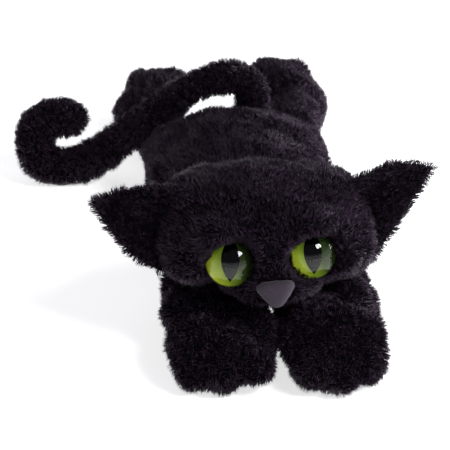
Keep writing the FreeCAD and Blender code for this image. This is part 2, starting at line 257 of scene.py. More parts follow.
def blob_form(name, blobs, smoothing=SKIN_SMOOTHING, lump_height=LUMP_HEIGHT):
    """Closed stuffed form grown from overlapping ellipsoids: (centre, radii) each."""
    shape = bmesh.new()
    for centre, radii in blobs:
        matrix = Matrix.Translation(centre) @ Matrix.Diagonal((*radii, 1.0))
        bmesh.ops.create_icosphere(shape, subdivisions=4, radius=1.0, matrix=matrix)
    mesh = bpy.data.meshes.new(name)
    shape.to_mesh(mesh)
    shape.free()
    piece = add_object(name, mesh)
    remesh = piece.modifiers.new("join", "REMESH")
    remesh.mode = "VOXEL"
    remesh.voxel_size = SKIN_VOXEL
    smooth = piece.modifiers.new("soften", "SMOOTH")
    smooth.factor = 0.5
    smooth.iterations = smoothing
    finish_modifiers(piece)
    puff(piece)
    finer = piece.modifiers.new("finer", "SUBSURF")
    finer.levels = 1
    finish_modifiers(piece)
    add_lumps(piece, height=lump_height)
    return piece


def puff(piece):
    """Blows the sewn cover up like a stuffed one with a short cloth simulation."""
    start = coordinates(piece.data)
    cloth = piece.modifiers.new("puff", "CLOTH")
    cloth.settings.quality = 5
    cloth.settings.mass = 0.3
    cloth.settings.tension_stiffness = 12
    cloth.settings.compression_stiffness = 12
    cloth.settings.bending_stiffness = 0.4
    cloth.settings.shrink_min = -0.04
    cloth.settings.use_pressure = True
    cloth.settings.uniform_pressure_force = 4.0
    cloth.settings.effector_weights.gravity = 0.0
    cloth.point_cache.frame_start = 1
    cloth.point_cache.frame_end = PUFF_FRAMES
    scene = bpy.context.scene
    for number in range(1, PUFF_FRAMES + 1):
        scene.frame_set(number)
    swollen = coordinates(baked_copy(piece))
    piece.modifiers.clear()
    scene.frame_set(1)
    moved = swollen - start
    reach = np.linalg.norm(moved, axis=1)
    share = np.minimum(1.0, PUFF_LIMIT / np.maximum(reach, 1e-9))
    set_coordinates(piece.data, start + moved * share[:, None])


def add_lumps(piece, size=LUMP_SIZE, height=LUMP_HEIGHT):
    """Uneven stuffing under the cloth."""
    points = coordinates(piece.data)
    normals = vertex_normals(piece.data)
    rise = height * waves(points, size, 11)
    set_coordinates(piece.data, points + normals * rise[:, None])


def rest_on_floor(piece, lowest=SKIN_LOWEST):
    points = coordinates(piece.data)
    points[:, 2] = np.maximum(points[:, 2], lowest)
    set_coordinates(piece.data, points)


def torso_skin():
    room = Room("torso_back_cover", "torso_belly_cover")
    blobs = [
        (room.place(0, 0.54, -0.06), room.size(1.0, 0.46, 1.06)),
        (room.place(0, 0.25, -0.10), room.size(1.0, 0.60, 1.0)),
        (room.place(0, -0.15, -0.16), room.size(0.86, 0.60, 0.90)),
        (room.place(0, -0.50, -0.28), room.size(0.66, 0.46, 0.76)),
        (room.place(0, -0.80, -0.42), room.size(0.36, 0.20, 0.55)),
    ]
    piece = blob_form("torso_skin", blobs, smoothing=12)
    rest_on_floor(piece)
    return piece


def neck_skin():
    room = Room("neck_sleeve")
    blobs = [
        (room.place(0, 0.1, 0.0), room.size(1.25, 1.1, 1.0)),
        (room.place(0, -0.7, 0.35), room.size(1.35, 0.9, 0.95)),
    ]
    return blob_form("neck_skin", blobs)


def head_skin():
    room = Room("head_face_cover", "head_back_cover")
    blobs = [
        (room.place(0, 0.12, 0.10), room.size(0.95, 0.86, 0.90)),
        (room.place(0, -0.25, 0.0), room.size(0.85, 0.62, 0.88)),
        (room.place(0.05, -0.62, -0.45), room.size(0.42, 0.36, 0.5)),
        (room.place(0.02, -0.45, -0.74), room.size(0.46, 0.42, 0.30)),
    ]
    for side in (1, -1):
        blobs.append((room.place(side * 0.5, 0.15, 0.38), room.size(0.42, 0.6, 0.60)))
        blobs.append((room.place(side * 0.6, -0.1, -0.22), room.size(0.42, 0.6, 0.62)))
        blobs.append((room.place(side * 0.36, -0.5, 0.42), room.size(0.32, 0.26, 0.30)))
    piece = blob_form("head_skin", blobs)
    seat_eyes(piece)
    raise_brows(piece)
    return piece


def foreleg_skin(name, side):
    room = Room(name + "_cover", side=side)
    blobs = [
        (room.place(0.18, 0.72, -0.05), room.size(0.62, 0.28, 0.88)),
        (room.place(0.0, 0.36, 0.0), room.size(0.98, 0.42, 1.04)),
        (room.place(-0.05, -0.04, 0.06), room.size(1.08, 0.46, 1.08)),
        (room.place(-0.10, -0.48, -0.04), room.size(1.10, 0.44, 0.94)),
    ]
    for x, y in zip(TOE_PLACES, FORELEG_TOE_ENDS):
        blobs.append((room.place(x, y, -0.36), room.size(0.36, 0.21, 0.62)))
    piece = blob_form(name + "_skin", blobs, smoothing=2, lump_height=2.0 * LUMP_HEIGHT)
    rest_on_floor(piece)
    return piece


def hind_leg_skin(name, side):
    room = Room(name + "_cover", side=side)
    blobs = [
        (room.place(-0.42, -0.76, -0.40), room.size(0.52, 0.24, 0.56)),
        (room.place(-0.20, -0.38, -0.38), room.size(0.56, 0.42, 0.60)),
        (room.place(0.06, 0.10, -0.28), room.size(0.66, 0.46, 0.70)),
        (room.place(-0.12, 0.62, 0.02), room.size(0.82, 0.34, 0.98)),
        (room.place(0.62, 0.44, -0.34), room.size(0.44, 0.32, 0.66)),
    ]
    for x in TOE_PLACES:
        blobs.append((room.place(0.8 * x - 0.1, 0.80, 0.16), room.size(0.34, 0.20, 0.72)))
    piece = blob_form(name + "_skin", blobs)
    rest_on_floor(piece)
    return piece


def toe_stitches(leg, skin, hind, materials):
    """Lines of thread pulled into the cloth between the toes, under the pile."""
    room = Room(leg + "_cover", side=1 if leg.startswith("left") else -1)
    tree = BVHTree.FromObject(skin, bpy.context.evaluated_depsgraph_get())
    outward = 1 if hind else -1
    middle = room.place(-0.06, 0.55 * outward, -0.4)
    vertices = []
    faces = []
    for x in STITCH_PLACES:
        start = Vector((room.place(x, 0, 0).x, middle.y, middle.z))
        line = []
        for angle in np.radians(np.linspace(*STITCH_ANGLES, STITCH_POINTS)):
            direction = Vector((0, outward * math.cos(angle), math.sin(angle)))
            hit = tree.ray_cast(start + direction * 0.1, -direction)[0]
            if hit is not None:
                line.append(np.array(hit))
        add_tube(vertices, faces, line, STITCH_RADIUS)
    piece = add_object(leg + "_toe_stitches", mesh_from(vertices, faces))
    piece.data.materials.append(materials["thread"])
    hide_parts(leg + "_toe_threads")
    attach(piece, leg)


def add_tube(vertices, faces, line, radius, sides=6):
    """Adds a closed round tube along a line to lists of vertices and faces."""
    first = len(vertices)
    for index, point in enumerate(line):
        ahead = line[min(index + 1, len(line) - 1)]
        behind = line[max(index - 1, 0)]
        along = Vector(ahead - behind).normalized()
        side = along.cross(Vector((1, 0, 0))).normalized()
        other = along.cross(side)
        for step in range(sides):
            angle = 2 * math.pi * step / sides
            vertices.append(Vector(point) + radius * (math.cos(angle) * side + math.sin(angle) * other))
    for ring in range(len(line) - 1):
        for step in range(sides):
            here = first + ring * sides
            after = (step + 1) % sides
            faces.append((here + step, here + after, here + sides + after, here + sides + step))
    faces.append(tuple(first + step for step in reversed(range(sides))))
    faces.append(tuple(first + (len(line) - 1) * sides + step for step in range(sides)))


# ---------------------------------------------------------------- tail

def arc(centre, radius, start, end):
    """Points of an arc in the XZ plane, from start to end degrees, without its last point."""
    count = max(3, int(abs(end - start) / 4))
    angles = np.radians(np.linspace(start, end, count, endpoint=False))
    return [(centre[0] + radius * math.cos(a), centre[1] + radius * math.sin(a)) for a in angles]


def tail_line():
    """Centre line of the tail from its root to its tip, with the y of its plane and its radius."""
    root = joint("tail_lift")[0]
    bend = joint("tail_bend")[0]
    curl = joint("tail_curl_bend")[0]
    base_low, base_high = corners("tail_base_cover")
    curl_low, curl_high = corners("tail_curl_cover")
    radius = (base_high[1] - base_low[1]) / 2
    slope = math.degrees(math.atan2(bend.z - curl.z, bend.x - curl.x))
    top = base_high[2] - radius
    arch_x = root.x - TAIL_SHOULDER_RADIUS
    points = [(root.x, root.z - radius), (root.x, root.z)]
    points += arc((arch_x, top - TAIL_SHOULDER_RADIUS), TAIL_SHOULDER_RADIUS, 0, 90)
    points += arc((arch_x, top - TAIL_ARCH_RADIUS), TAIL_ARCH_RADIUS, 90, 90 + slope)
    points.append((bend.x, bend.z))
    lay = (curl.x - TAIL_LAY_RADIUS * math.sin(math.radians(slope)),
           curl.z + TAIL_LAY_RADIUS * math.cos(math.radians(slope)))
    points += arc(lay, TAIL_LAY_RADIUS, slope - 90, -90 - TAIL_LAY_END)
    curl_radius = (curl_high[2] - curl_low[2]) / 2 - radius
    curl_centre = (curl_low[0] + radius + curl_radius, curl_low[2] + radius + curl_radius)
    points += arc(curl_centre, curl_radius, -90 - TAIL_LAY_END, -270)
    tip_radius = TAIL_TIP_CURL_SHARE * curl_radius
    tip_centre = (curl_centre[0], curl_centre[1] + curl_radius - tip_radius)
    points += arc(tip_centre, tip_radius, -270, -270 - TAIL_TIP_TURN)
    return np.array(points), root.y, radius


def resample(points, step):
    lengths = np.concatenate([[0], np.cumsum(np.linalg.norm(np.diff(points, axis=0), axis=1))])
    wanted = np.linspace(0, lengths[-1], int(lengths[-1] / step) + 1)
    return np.column_stack([np.interp(wanted, lengths, points[:, axis]) for axis in range(points.shape[1])])


def smoothed(points, rounds):
    points = points.copy()
    for _ in range(rounds):
        points[1:-1] = (points[:-2] + 2 * points[1:-1] + points[2:]) / 4
    return points


def tail_tube(name, line, y, radii):
    """Round tube along a line in the XZ plane, with both ends closed."""
    rings = []
    tangents = np.gradient(line, axis=0)
    tangents /= np.linalg.norm(tangents, axis=1)[:, None]
    for point, tangent, radius in zip(line, tangents, radii):
        normal = np.array([-tangent[1], tangent[0]])
        for step in range(TAIL_SIDES):
            angle = 2 * math.pi * step / TAIL_SIDES
            out = radius * math.cos(angle)
            rings.append((point[0] + out * normal[0],
                          y + radius * math.sin(angle),
                          point[1] + out * normal[1]))
    count = len(line)
    faces = []
    for ring in range(count - 1):
        for step in range(TAIL_SIDES):
            after = (step + 1) % TAIL_SIDES
            faces.append((ring * TAIL_SIDES + step, ring * TAIL_SIDES + after,
                          (ring + 1) * TAIL_SIDES + after, (ring + 1) * TAIL_SIDES + step))
    faces.append(tuple(range(TAIL_SIDES))[::-1])
    faces.append(tuple((count - 1) * TAIL_SIDES + step for step in range(TAIL_SIDES)))
    piece = add_object(name, mesh_from(rings, faces))
    face_outwards(piece.data)
    add_lumps(piece, TAIL_LUMP_SIZE)
    rest_on_floor(piece)
    return piece


def tail_skins():
    """Front stretch over the arch, and end stretch over the curl. They meet half way down the slope."""
    points, y, radius = tail_line()
    line = smoothed(resample(points, TAIL_STEP), 6)
    bend = joint("tail_bend")[0]
    curl = joint("tail_curl_bend")[0]
    middle = np.array([(bend.x + curl.x) / 2, (bend.z + curl.z) / 2])
    cut = int(np.argmin(np.linalg.norm(line - middle, axis=1)))
    along = np.linspace(0, 1, len(line))
    thicker = np.clip((along - 0.3) / 0.4, 0, 1)
    flare = TAIL_ROOT_FLARE * np.exp(-along / 0.05)
    radii = radius * (TAIL_ARCH_SHARE + (TAIL_CURL_SHARE - TAIL_ARCH_SHARE) * thicker + flare)
    from_tip = (len(line) - 1 - np.arange(len(line))) * TAIL_STEP
    tip = np.clip(from_tip / (radius * TAIL_CURL_SHARE), 0, 1)
    radii = radii * np.sqrt(np.clip(1 - (1 - tip) ** 2, 0.02, 1))
    front = tail_tube("tail_arch_skin", line[:cut + 2], y, radii[:cut + 2])
    end = tail_tube("tail_curl_skin", line[cut - 1:], y, radii[cut - 1:])
    return front, end, line


# ---------------------------------------------------------------- ears

class Ear:
    """Leaf shaped, cupped ear. Its edges lie below and above the line from its root to its tip."""

    def __init__(self, name, side, length, low, low_power, high, high_power, lift):
        self.name = name
        self.base, axis = joint(name + "_fold")
        self.up = axis * side
        outward = Vector((side * EAR_OUTWARD.x, 0, EAR_OUTWARD.z))
        self.out = (outward - self.up * outward.dot(self.up)).normalized()
        self.front = self.up.cross(self.out).normalized()
        if self.front.y > 0:
            self.front = -self.front
        self.length = length
        self.low = low
        self.low_power = low_power
        self.high = high
        self.high_power = high_power
        self.lift = lift

    def point(self, share, across, depth):
        """Point of the leaf: share from root to tip, across from -1 to 1, depth towards the front."""
        low = self.low * (1 - share ** self.low_power)
        high = self.high * (1 - share ** self.high_power)
        rise = (high - low) / 2 + across * (high + low) / 2
        cup = EAR_CUP_RADIUS * (0.9 + 1.2 * share)
        forward = cup * (1 - math.cos(min(abs(rise) / cup, 1.4)))
        reach = -EAR_INTO_HEAD + (self.length + EAR_INTO_HEAD) * share
        return (self.base + self.out * reach + self.up * (rise + self.lift * share ** 1.3)
                + self.front * (forward + depth - 2 * MM * share))

    def shell(self, name, back, front, width_share, end):
        """Closed padded layer of the leaf between two depths."""
        vertices = []
        for layer_depth in (back, front):
            middle = (back + front) / 2
            for row in range(EAR_ROWS):
                share = end * (1 - (1 - row / (EAR_ROWS - 1)) ** 1.4)
                for column in range(EAR_COLUMNS):
                    across = math.sin(math.pi * (column / (EAR_COLUMNS - 1) - 0.5))
                    full = math.sqrt(max(0.0, 1 - across ** 2)) * math.sqrt(max(0.0, 1 - (share / end) ** 6))
                    thickness = EAR_RIM_THICKNESS + (1 - EAR_RIM_THICKNESS) * full
                    depth = middle + (layer_depth - middle) * thickness
                    vertices.append(self.point(share, width_share * across, depth))
        faces = []
        size = EAR_ROWS * EAR_COLUMNS
        for row in range(EAR_ROWS - 1):
            for column in range(EAR_COLUMNS - 1):
                a = row * EAR_COLUMNS + column
                quad = (a, a + 1, a + EAR_COLUMNS + 1, a + EAR_COLUMNS)
                faces.append(quad)
                faces.append(tuple(size + corner for corner in reversed(quad)))
        rim = list(range(EAR_COLUMNS))
        rim += [row * EAR_COLUMNS + EAR_COLUMNS - 1 for row in range(1, EAR_ROWS)]
        rim += [(EAR_ROWS - 1) * EAR_COLUMNS + column for column in range(EAR_COLUMNS - 2, -1, -1)]
        rim += [row * EAR_COLUMNS for row in range(EAR_ROWS - 2, 0, -1)]
        for here, after in zip(rim, rim[1:] + rim[:1]):
            faces.append((after, here, size + here, size + after))
        mesh = mesh_from(vertices, faces)
        face_outwards(mesh)
        return add_object(self.name + name, mesh)


def dress_ears(materials, rng):
    ears = (
        Ear("left_ear", 1, 38.5 * MM, 21 * MM, 1.3, 19 * MM, 2.6, 6 * MM),
        Ear("right_ear", -1, 35 * MM, 23 * MM, 2.0, 20 * MM, 1.7, -4.5 * MM),
    )
    for ear in ears:
        back = ear.shell("_back_skin", -EAR_BACK, EAR_BACK, 1.0, 1.0)
        coat = Coat(flow_outwards(ear.out), lean=0.8, length=0.85, clump=0.7)
        dress(back, ear.name, [ear.name + "_back_panel"], materials, coat, rng)
        lining = ear.shell("_lining_skin", EAR_BACK, EAR_BACK + EAR_FRONT, LINING_SHARE, LINING_END)
        coat = Coat(flow_outwards(ear.out), lean=0.8, length=0.5, density=1.2)
        # the lining's pile takes the darker lining material, whose colour is painted shade of the ear's
        # cupped hollow
        dress(lining, ear.name, [ear.name + "_front_panel"], materials, coat, rng,
              material="lining")


# ---------------------------------------------------------------- eyes and nose

def facing(tilt, turn):
    """Matrix whose Z looks out of the face, up by tilt and towards +X by turn, with Y up."""
    spin = Matrix.Rotation(math.radians(turn), 4, "Z")
    return spin @ Matrix.Rotation(math.radians(90 - tilt), 4, "X")


def eye_place(side):
    name = "left" if side > 0 else "right"
    low, high = corners(name + "_iris_disc")
    shift = Vector(LEFT_EYE_SHIFT if side > 0 else RIGHT_EYE_SHIFT)
    turned = facing(EYE_TILT, side * EYE_TURN)
    return Matrix.Translation(Vector((low + high) / 2)) @ turned @ Matrix.Translation(shift)


def eye_sizes():
    """Radius of the eye and height of its dome."""
    low, high = corners("left_iris_disc")
    radius = EYE_SCALE * (high[0] - low[0]) / (2 * math.cos(math.radians(EYE_TURN)))
    return radius, EYE_DOME_SHARE * radius


def seat_eyes(piece):
    """Presses the skin back behind each eye so that the eye lies in a shallow hollow."""
    radius = eye_sizes()[0]
    points = coordinates(piece.data)
    for side in (1, -1):
        matrix = np.array(eye_place(side).inverted())
        local = moved(points, matrix)
        distance = np.linalg.norm(local[:, :2], axis=1)
        hold = np.clip((HOLLOW_REACH * radius - distance) / (HOLLOW_EDGE * radius), 0, 1)
        hold = hold * hold * (3 - 2 * hold)
        front = local[:, 2] > -HOLLOW_REGION_DEPTH
        target = np.minimum(local[:, 2], -HOLLOW_DEPTH)
        local[:, 2] = np.where(front, local[:, 2] * (1 - hold) + target * hold, local[:, 2])
        points = moved(local, np.array(eye_place(side)))
    set_coordinates(piece.data, points)


def raise_brows(piece):
    """Swells the skin over each eye into a brow that hangs over its top edge."""
    radius = eye_sizes()[0]
    points = coordinates(piece.data)
    for side, lean in ((1, BROW_LEAN[0]), (-1, BROW_LEAN[1])):
        place = np.array(eye_place(side))
        matrix = np.linalg.inv(place)
        local = moved(points, matrix)
        angle = math.radians(lean)
        across = local[:, 0] * math.sin(angle) - local[:, 1] * math.cos(angle)
        outward = local[:, 0] * math.cos(angle) + local[:, 1] * math.sin(angle)
        off_ridge = (outward - BROW_PLACE * radius) / (BROW_THICKNESS * radius)
        near = np.exp(-off_ridge ** 2 - (across / (BROW_HALF_LENGTH * radius)) ** 2)
        near = near * (local[:, 2] > -EYE_REGION_DEPTH)
        local[:, 2] += BROW_HEIGHT * near
        local[:, 0] -= BROW_HANG * BROW_HEIGHT * near * math.cos(angle)
        local[:, 1] -= BROW_HANG * BROW_HEIGHT * near * math.sin(angle)
        points = moved(local, place)
    set_coordinates(piece.data, points)


def lathe(name, profile, matrix, segments=72):
    """Turned form. profile runs from the axis outwards and back to the axis: (radius, height)."""
    vertices = []
    faces = []
    ring_starts = []
    for radius, height in profile:
        ring_starts.append(len(vertices))
        if radius < 1e-9:
            vertices.append(matrix @ Vector((0, 0, height)))
            continue
        for step in range(segments):
            angle = 2 * math.pi * step / segments
            vertices.append(matrix @ Vector((radius * math.cos(angle), radius * math.sin(angle), height)))
    for index in range(len(profile) - 1):
        here = ring_starts[index]
        there = ring_starts[index + 1]
        for step in range(segments):
            after = (step + 1) % segments
            if profile[index][0] < 1e-9:
                faces.append((here, there + step, there + after))
            elif profile[index + 1][0] < 1e-9:
                faces.append((here + after, here + step, there))
            else:
                faces.append((here + step, there + step, there + after, here + after))
    return add_object(name, mesh_from(vertices, faces))


def flat_uv(piece, matrix, scale):
    """UV map that looks along the local Z: 0.5 is the centre."""
    layer = piece.data.uv_layers.new(name="face_on")
    inverse = matrix.inverted()
    for loop in piece.data.loops:
        local = inverse @ piece.data.vertices[loop.vertex_index].co
        layer.data[loop.index].uv = (0.5 + local.x / scale, 0.5 + local.y / scale)


def dome_profile(radius, height, base, steps=16):
    """Outline of a dome from its top to its edge: (radius, height) pairs."""
    curve_radius = (radius ** 2 + height ** 2) / (2 * height)
    widest = math.asin(min(1.0, radius / curve_radius))
    profile = []
    for step in range(steps + 1):
        angle = widest * step / steps
        drop = curve_radius * (1 - math.cos(angle))
        profile.append((curve_radius * math.sin(angle), base + height - drop))
    profile[0] = (0.0, base + height)
    return profile


def eye(side, materials):
    name = "left" if side > 0 else "right"
    matrix = eye_place(side)
    radius, height = eye_sizes()
    profile = dome_profile(radius, height, EYE_RIM)
    profile += [(radius + 0.1 * MM, 0.5 * EYE_RIM), (radius, -EYE_RIM), (0.0, -EYE_RIM)]
    dome = lathe(name + "_eye_lens", profile, matrix)
    iris_radius = IRIS_SHARE * radius
    dish = [(0.0, 0.0), (0.5 * iris_radius, 0.01 * MM), (iris_radius, 0.05 * MM),
            (iris_radius, -0.5 * EYE_RIM), (0.0, -0.5 * EYE_RIM)]
    iris = lathe(name + "_eye_iris", dish, matrix)
    flat_uv(iris, matrix, 2 * iris_radius)
    parts = ((dome, "lens", "_eye_dome", "eye_lens"), (iris, "iris", "_iris_disc", "iris_paint"))
    for piece, material, node, slot in parts:
        piece.data.materials.append(materials[material])
        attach(piece, "head")
        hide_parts(name + node)


def nose_place():
    low, high = corners("nose")
    centre = Vector(((low[0] + high[0]) / 2, low[1] + NOSE_SEAT_DEPTH,
                     low[2] + NOSE_SEAT_HEIGHT * (high[2] - low[2])))
    roll = Matrix.Rotation(math.radians(NOSE_ROLL), 4, "Z")
    return Matrix.Translation(centre) @ facing(NOSE_TILT, 0.0) @ roll


def nose(materials):
    """Puffed rounded triangle, point down."""
    matrix = nose_place()
    rings = 12
    segments = 60
    vertices = []
    faces = []
    for ring in range(rings + 1):
        share = ring / rings
        for step in range(segments):
            angle = 2 * math.pi * step / segments
            spread = nose_radius(angle)
            height = NOSE_THICKNESS * (1 - share ** 3.2) ** 0.5
            vertices.append(matrix @ Vector((spread[0] * share, spread[1] * share, height)))
    for ring in range(rings):
        for step in range(segments):
            after = (step + 1) % segments
            a = ring * segments
            b = (ring + 1) * segments
            faces.append((a + step, b + step, b + after, a + after))
    faces.append(tuple(rings * segments + step for step in reversed(range(segments))))
    piece = add_object("nose_pad", mesh_from(vertices, faces))
    face_outwards(piece.data)
    piece.data.materials.append(materials["nose"])
    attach(piece, "head")
    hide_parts("nose")


def nose_radius(angle):
    """Outline point of the nose at an angle from its centre."""
    point_down = angle + math.pi / 2
    soft_triangle = 1.0 + 0.17 * math.cos(3 * point_down) + 0.03 * math.cos(6 * point_down)
    return (NOSE_HALF_WIDTH * soft_triangle * math.cos(angle),
            0.5 * NOSE_HEIGHT * soft_triangle * math.sin(angle))


# ---------------------------------------------------------------- pile

def triangles_of(mesh):
    mesh.calc_loop_triangles()
    flat = np.empty(len(mesh.loop_triangles) * 3, dtype=np.int32)
    mesh.loop_triangles.foreach_get("vertices", flat)
    return flat.reshape(-1, 3)


def vertex_normals(mesh):
    flat = np.empty(len(mesh.vertices) * 3, dtype=np.float32)
    mesh.vertices.foreach_get("normal", flat)
    return flat.reshape(-1, 3).astype(float)


def unit(vectors):
    return vectors / np.maximum(np.linalg.norm(vectors, axis=1), 1e-9)[:, None]


def scatter(mesh, per_square_mm, rng):
    """Evenly spread roots on a mesh with their smooth normals."""
    points = coordinates(mesh)
    normals = vertex_normals(mesh)
    triangles = triangles_of(mesh)
    a, b, c = points[triangles[:, 0]], points[triangles[:, 1]], points[triangles[:, 2]]
    areas = np.linalg.norm(np.cross(b - a, c - a), axis=1) / 2
    total = np.concatenate([[0], np.cumsum(areas)])
    count = int(total[-1] / (MM * MM) * per_square_mm)
    marks = (np.arange(count) + rng.random(count)) * total[-1] / count
    chosen = np.clip(np.searchsorted(total, marks) - 1, 0, len(triangles) - 1)
    u = rng.random(count)
    v = rng.random(count)
    flip = u + v > 1
    u[flip] = 1 - u[flip]
    v[flip] = 1 - v[flip]
    weights = np.column_stack([1 - u - v, u, v])
    corners_of = triangles[chosen]
    roots = sum(weights[:, k, None] * points[corners_of[:, k]] for k in range(3))
    outward = sum(weights[:, k, None] * normals[corners_of[:, k]] for k in range(3))
    return roots, unit(outward)


def nearest(points, centres):
    tree = KDTree(len(centres))
    for index, centre in enumerate(centres):
        tree.insert(centre, index)
    tree.balance()
    return np.array([tree.find(point)[1] for point in points])


def waves(points, size, seed, count=10):
    """Smooth random field of about -1 to 1 whose swells are roughly size wide."""
    rng = np.random.default_rng(seed)
    field = np.zeros(len(points))
    for _ in range(count):
        direction = rng.normal(size=3)
        direction *= math.pi * rng.uniform(0.6, 1.5) / (size * np.linalg.norm(direction))
        field += np.sin(points @ direction + rng.uniform(0, 2 * math.pi))
    return field * 1.6 / count ** 0.5 / 2


class Coat:
    """How the pile of one sewn part lies."""

    def __init__(self, flow, lean=0.6, length=1.0, ruffle=0.22, clump=0.6, density=1.0, swirl=0.9):
        self.flow = flow
        self.lean = lean
        self.length = length
        self.ruffle = ruffle
        self.clump = clump
        self.density = density
        self.swirl = swirl


def grow_strands(mesh, coat, rng):
    """Roots, middles, tips and widths of all strands on a skin."""
    roots, normals = scatter(mesh, PILE_PER_SQUARE_MM * coat.density, rng)
    count = len(roots)
    flow = coat.flow(roots)
    drift = np.column_stack([waves(roots, DRIFT_SIZE, seed) for seed in (1, 2, 3)])
    flow = unit(flow) + coat.swirl * drift
    flow = flow - normals * np.sum(flow * normals, axis=1)[:, None]
    jitter = rng.normal(0, coat.ruffle, (count, 3))
    direction = unit(normals + coat.lean * flow + jitter)
    length = PILE_LENGTH * coat.length * (0.72 + 0.42 * rng.random(count))
    length = length * (1 + 0.16 * waves(roots, DRIFT_SIZE / 2, 4))
    straight = direction * length[:, None]
    tips = roots + straight
    centres = rng.choice(count, max(1, int(count * TUFT_SHARE)), replace=False)
    tuft = centres[nearest(roots, roots[centres])]
    pull = coat.clump * (0.5 + 0.5 * rng.random(count))
    pull[centres] = 0
    gathered = tips * (1 - pull)[:, None] + tips[tuft] * pull[:, None]
    tips = roots + unit(gathered - roots) * np.maximum(length * 0.9, 0.2 * MM)[:, None]
    middles = roots + MIDDLE_ALONG_ROOT * straight + MIDDLE_ALONG_TIP * (tips - roots)
    widths = PILE_WIDTH * (0.7 + 0.6 * rng.random(count))
    starts = roots - normals * PILE_ROOT_DEPTH
    alive = length > PILE_SHORTEST
    return starts[alive], middles[alive], tips[alive], widths[alive]


def strand_mesh(name, starts, middles, tips, widths):
    """Closed three-sided strands that taper to a point."""
    count = len(starts)
    along = unit(tips - starts)
    upright = np.abs(along[:, 2:3]) >= 0.9
    helper = np.where(upright, np.array([[1.0, 0.0, 0.0]]), np.array([[0.0, 0.0, 1.0]]))
    side = unit(np.cross(along, helper))
    other = np.cross(along, side)
    vertices = np.empty((count, 7, 3), dtype=np.float32)
    for corner in range(3):
        angle = 2 * math.pi * corner / 3
        offset = (math.cos(angle) * side + math.sin(angle) * other) * widths[:, None]
        vertices[:, corner] = starts + offset
        vertices[:, 3 + corner] = middles + 0.8 * offset
    vertices[:, 6] = tips
    vertices[:, :, 2] = np.maximum(vertices[:, :, 2], FLOOR_Z + PILE_LOWEST)
    pattern = np.array([2, 1, 0, 0, 1, 4, 3, 1, 2, 5, 4, 2, 0, 3, 5, 3, 4, 6, 4, 5, 6, 5, 3, 6])
    sizes = np.array([3, 4, 4, 4, 3, 3, 3])
    loops = (np.arange(count)[:, None] * 7 + pattern[None, :]).ravel().astype(np.int32)
    totals = np.tile(sizes, count).astype(np.int32)
    starts_of = np.concatenate([[0], np.cumsum(totals)[:-1]]).astype(np.int32)
    mesh = bpy.data.meshes.new(name)
    mesh.vertices.add(count * 7)
    mesh.vertices.foreach_set("co", vertices.ravel())
    mesh.loops.add(len(loops))
    mesh.loops.foreach_set("vertex_index", loops)
    mesh.polygons.add(len(totals))
    mesh.polygons.foreach_set("loop_start", starts_of)
    mesh.polygons.foreach_set("use_smooth", np.ones(len(totals), dtype=bool))
    mesh.update(calc_edges=True)
    unwrap_strands(mesh, count)
    return mesh


def unwrap_strands(mesh, count):
    """Gives each strand its own cell of the UV map."""
    per_row = math.ceil(count ** 0.5)
    cell = 1 / per_row
    pattern = [(0.0, 0.0), (0.1, 0.0), (0.0, 0.08)]
    for side in range(3):
        left = side / 3
        right = left + 0.3
        pattern += [(left, 0.1), (right, 0.1), (right, 0.55), (left, 0.55)]
    for side in range(3):
        left = side / 3
        right = left + 0.3
        pattern += [(left, 0.58), (right, 0.58), ((left + right) / 2, 0.95)]
    index = np.arange(count)
    origin = np.column_stack([index % per_row, index // per_row]) * cell
    uv = origin[:, None, :] + np.array(pattern)[None, :, :] * cell * 0.92
    layer = mesh.uv_layers.new(name="OFBake")
    layer.data.foreach_set("uv", uv.astype(np.float32).ravel())


def pile(skin, name, coat, material, rng, clear=None):
    """Pile pieces of one skin, each small enough to be kept whole."""
    starts, middles, tips, widths = grow_strands(skin.data, coat, rng)
    if clear is not None:
        keep, tips = clear(starts, tips)
        starts, middles, tips, widths = starts[keep], middles[keep], tips[keep], widths[keep]
    chunks = max(1, math.ceil(len(starts) / PILE_CHUNK))
    order = np.argsort(starts[:, 1], kind="stable")
    pieces = []
    for number, part in enumerate(np.array_split(order, chunks)):
        label = name + "_" + str(number + 1)
        mesh = strand_mesh(label, starts[part], middles[part], tips[part], widths[part])
        mesh.materials.append(material)
        pieces.append(add_object(label, mesh))
    return pieces


# ---------------------------------------------------------------- materials

def new_material(name):
    material = bpy.data.materials.new(name)
    material.use_nodes = True
    nodes = material.node_tree.nodes
    nodes.clear()
    output = nodes.new("ShaderNodeOutputMaterial")
    shader = nodes.new("ShaderNodeBsdfPrincipled")
    material.node_tree.links.new(shader.outputs["BSDF"], output.inputs["Surface"])
    return material, nodes, material.node_tree.links, shader


def noise(nodes, links, scale, detail=2.0, coordinates_name="Object"):
    position = nodes.new("ShaderNodeTexCoord")
    texture = nodes.new("ShaderNodeTexNoise")
    texture.inputs["Scale"].default_value = scale
    texture.inputs["Detail"].default_value = detail
    links.new(position.outputs[coordinates_name], texture.inputs["Vector"])
    return texture


def ramp(nodes, links, factor, stops):
    node = nodes.new("ShaderNodeValToRGB")
    links.new(factor, node.inputs["Fac"])
    elements = node.color_ramp.elements
    for index, (position, color) in enumerate(stops):
        element = elements[index] if index < 2 else elements.new(position)
        element.position = position
        element.color = (*color, 1.0)
    return node


def plush_material(name, dark, light, gloss, sheen):
    material, nodes, links, shader = new_material(name)
    texture = noise(nodes, links, 430.0, 3.0)
    colors = ramp(nodes, links, texture.outputs["Fac"], [(0.48, dark), (0.59, light)])
    links.new(colors.outputs["Color"], shader.inputs["Base Color"])
    shader.inputs["Roughness"].default_value = 0.42
    shader.inputs["Specular IOR Level"].default_value = gloss
    shader.inputs["Specular Tint"].default_value = (0.92, 0.70, 1.0, 1.0)
    shader.inputs["Sheen Weight"].default_value = sheen
    shader.inputs["Sheen Roughness"].default_value = 0.45
    shader.inputs["Sheen Tint"].default_value = (0.55, 0.5, 0.75, 1.0)
    return material


